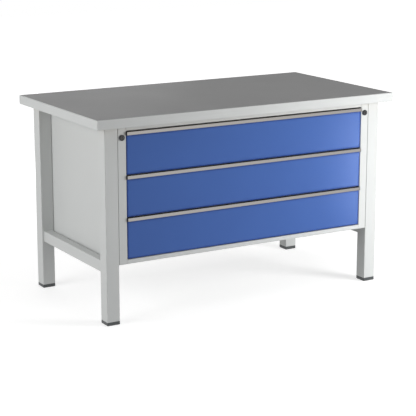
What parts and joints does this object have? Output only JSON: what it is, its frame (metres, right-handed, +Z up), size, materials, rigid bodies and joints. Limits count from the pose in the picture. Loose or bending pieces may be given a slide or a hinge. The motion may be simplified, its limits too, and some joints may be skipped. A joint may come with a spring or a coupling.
{
  "type": "workbench",
  "caption": "Steel-framed workbench with a thick flat worktop, square legs and full-width lockable drawers on telescopic runners.",
  "frame": {"origin": "on the floor under the middle of the worktop", "axes": "+X to the right along the front, +Y to the back, +Z up; the drawers open towards -Y"},
  "size_m": [1.5, 0.8, 0.89],
  "materials": {
    "board": "pressed-wood board, sanded",
    "worktop_laminate": "matte dark grey laminate with a fine grain",
    "edge_band": "light grey moulded band, satin",
    "light_grey_enamel": "light grey powder coat, satin",
    "blue_enamel": "mid blue powder coat, satin",
    "drawer_enamel": "light grey powder coat, satin",
    "anodised_aluminium": "extruded and satin anodised",
    "black_plastic": "black moulded plastic, fine grain",
    "foot_plastic": "dark grey moulded plastic",
    "zinc_steel": "bright zinc plate",
    "nickel_steel": "satin nickel plate"
  },
  "bodies": {
    "frame": {"worktop_core": "board", "worktop_surface": "worktop_laminate", "worktop_edge_band": "edge_band", "worktop_screws": "zinc_steel", "cabinet_back": "light_grey_enamel", "cabinet_floor": "light_grey_enamel", "rivet_nuts": "zinc_steel", "cabinet_bolts": "zinc_steel", "lock_bar_studs": "zinc_steel", "left_front_leg": "light_grey_enamel", "right_front_leg": "light_grey_enamel", "left_rear_leg": "light_grey_enamel", "right_rear_leg": "light_grey_enamel", "foot_caps": "foot_plastic", "left_lower_rail": "light_grey_enamel", "right_lower_rail": "light_grey_enamel", "left_upper_rail": "light_grey_enamel", "right_upper_rail": "light_grey_enamel", "left_cabinet_side": "light_grey_enamel", "right_cabinet_side": "light_grey_enamel", "cabinet_top_rail": "light_grey_enamel", "cabinet_bottom_rail": "light_grey_enamel", "runner_posts": "light_grey_enamel", "left_lock_housing": "black_plastic", "right_lock_housing": "black_plastic", "lock_nuts": "zinc_steel", "cabinet_runners": "zinc_steel"},
    "top_drawer": {"top_drawer_front": "blue_enamel", "top_drawer_grip": "anodised_aluminium", "top_drawer_grip_caps": "black_plastic", "top_drawer_tray": "drawer_enamel", "top_drawer_sides": "drawer_enamel", "top_drawer_drawer_runners": "zinc_steel", "top_drawer_lock_catches": "zinc_steel"},
    "top_drawer_runners": {"top_drawer_slide_runners": "zinc_steel"},
    "middle_drawer": {"middle_drawer_front": "blue_enamel", "middle_drawer_grip": "anodised_aluminium", "middle_drawer_grip_caps": "black_plastic", "middle_drawer_tray": "drawer_enamel", "middle_drawer_sides": "drawer_enamel", "middle_drawer_drawer_runners": "zinc_steel", "middle_drawer_lock_catches": "zinc_steel"},
    "middle_drawer_runners": {"middle_drawer_slide_runners": "zinc_steel"},
    "bottom_drawer": {"bottom_drawer_front": "blue_enamel", "bottom_drawer_grip": "anodised_aluminium", "bottom_drawer_grip_caps": "black_plastic", "bottom_drawer_tray": "drawer_enamel", "bottom_drawer_sides": "drawer_enamel", "bottom_drawer_drawer_runners": "zinc_steel", "bottom_drawer_lock_catches": "zinc_steel"},
    "bottom_drawer_runners": {"bottom_drawer_slide_runners": "zinc_steel"},
    "left_lock_cylinder": {"left_lock_plug": "nickel_steel", "left_lock_cam": "zinc_steel"},
    "left_bar": {"left_lock_bar": "zinc_steel", "left_lock_tabs": "zinc_steel"},
    "right_lock_cylinder": {"right_lock_plug": "nickel_steel", "right_lock_cam": "zinc_steel"},
    "right_bar": {"right_lock_bar": "zinc_steel", "right_lock_tabs": "zinc_steel"}
  },
  "joints": [
    {"name": "top_drawer_slide", "type": "slide", "parent": "frame", "child": "top_drawer", "axis": [0, -1, 0], "range_m": [0, 0.55]},
    {"name": "top_drawer_runner_slide", "type": "slide", "parent": "frame", "child": "top_drawer_runners", "axis": [0, -1, 0], "range_m": [0, 0.275]},
    {"name": "middle_drawer_slide", "type": "slide", "parent": "frame", "child": "middle_drawer", "axis": [0, -1, 0], "range_m": [0, 0.55]},
    {"name": "middle_drawer_runner_slide", "type": "slide", "parent": "frame", "child": "middle_drawer_runners", "axis": [0, -1, 0], "range_m": [0, 0.275]},
    {"name": "bottom_drawer_slide", "type": "slide", "parent": "frame", "child": "bottom_drawer", "axis": [0, -1, 0], "range_m": [0, 0.55]},
    {"name": "bottom_drawer_runner_slide", "type": "slide", "parent": "frame", "child": "bottom_drawer_runners", "axis": [0, -1, 0], "range_m": [0, 0.275]},
    {"name": "left_bar_lift", "type": "slide", "parent": "frame", "child": "left_bar", "axis": [0, 0, 1], "range_m": [0, 0.0099]},
    {"name": "left_lock_turn", "type": "hinge", "parent": "frame", "child": "left_lock_cylinder", "pos_m": [-0.61995, -0.36, 0.803], "axis": [0, -1, 0], "range_deg": [0, 90]},
    {"name": "right_bar_lift", "type": "slide", "parent": "frame", "child": "right_bar", "axis": [0, 0, 1], "range_m": [0, 0.0099]},
    {"name": "right_lock_turn", "type": "hinge", "parent": "frame", "child": "right_lock_cylinder", "pos_m": [0.61995, -0.36, 0.803], "axis": [0, 1, 0], "range_deg": [0, 90]}
  ],
  "couplings": [
    {"joint": "top_drawer_runner_slide", "follows": "top_drawer_slide", "ratio": 0.5},
    {"joint": "middle_drawer_runner_slide", "follows": "middle_drawer_slide", "ratio": 0.5},
    {"joint": "bottom_drawer_runner_slide", "follows": "bottom_drawer_slide", "ratio": 0.5},
    {"joint": "left_lock_turn", "follows": "left_bar_lift", "rad_per_m": 158.67},
    {"joint": "right_lock_turn", "follows": "right_bar_lift", "rad_per_m": 158.67}
  ]
}
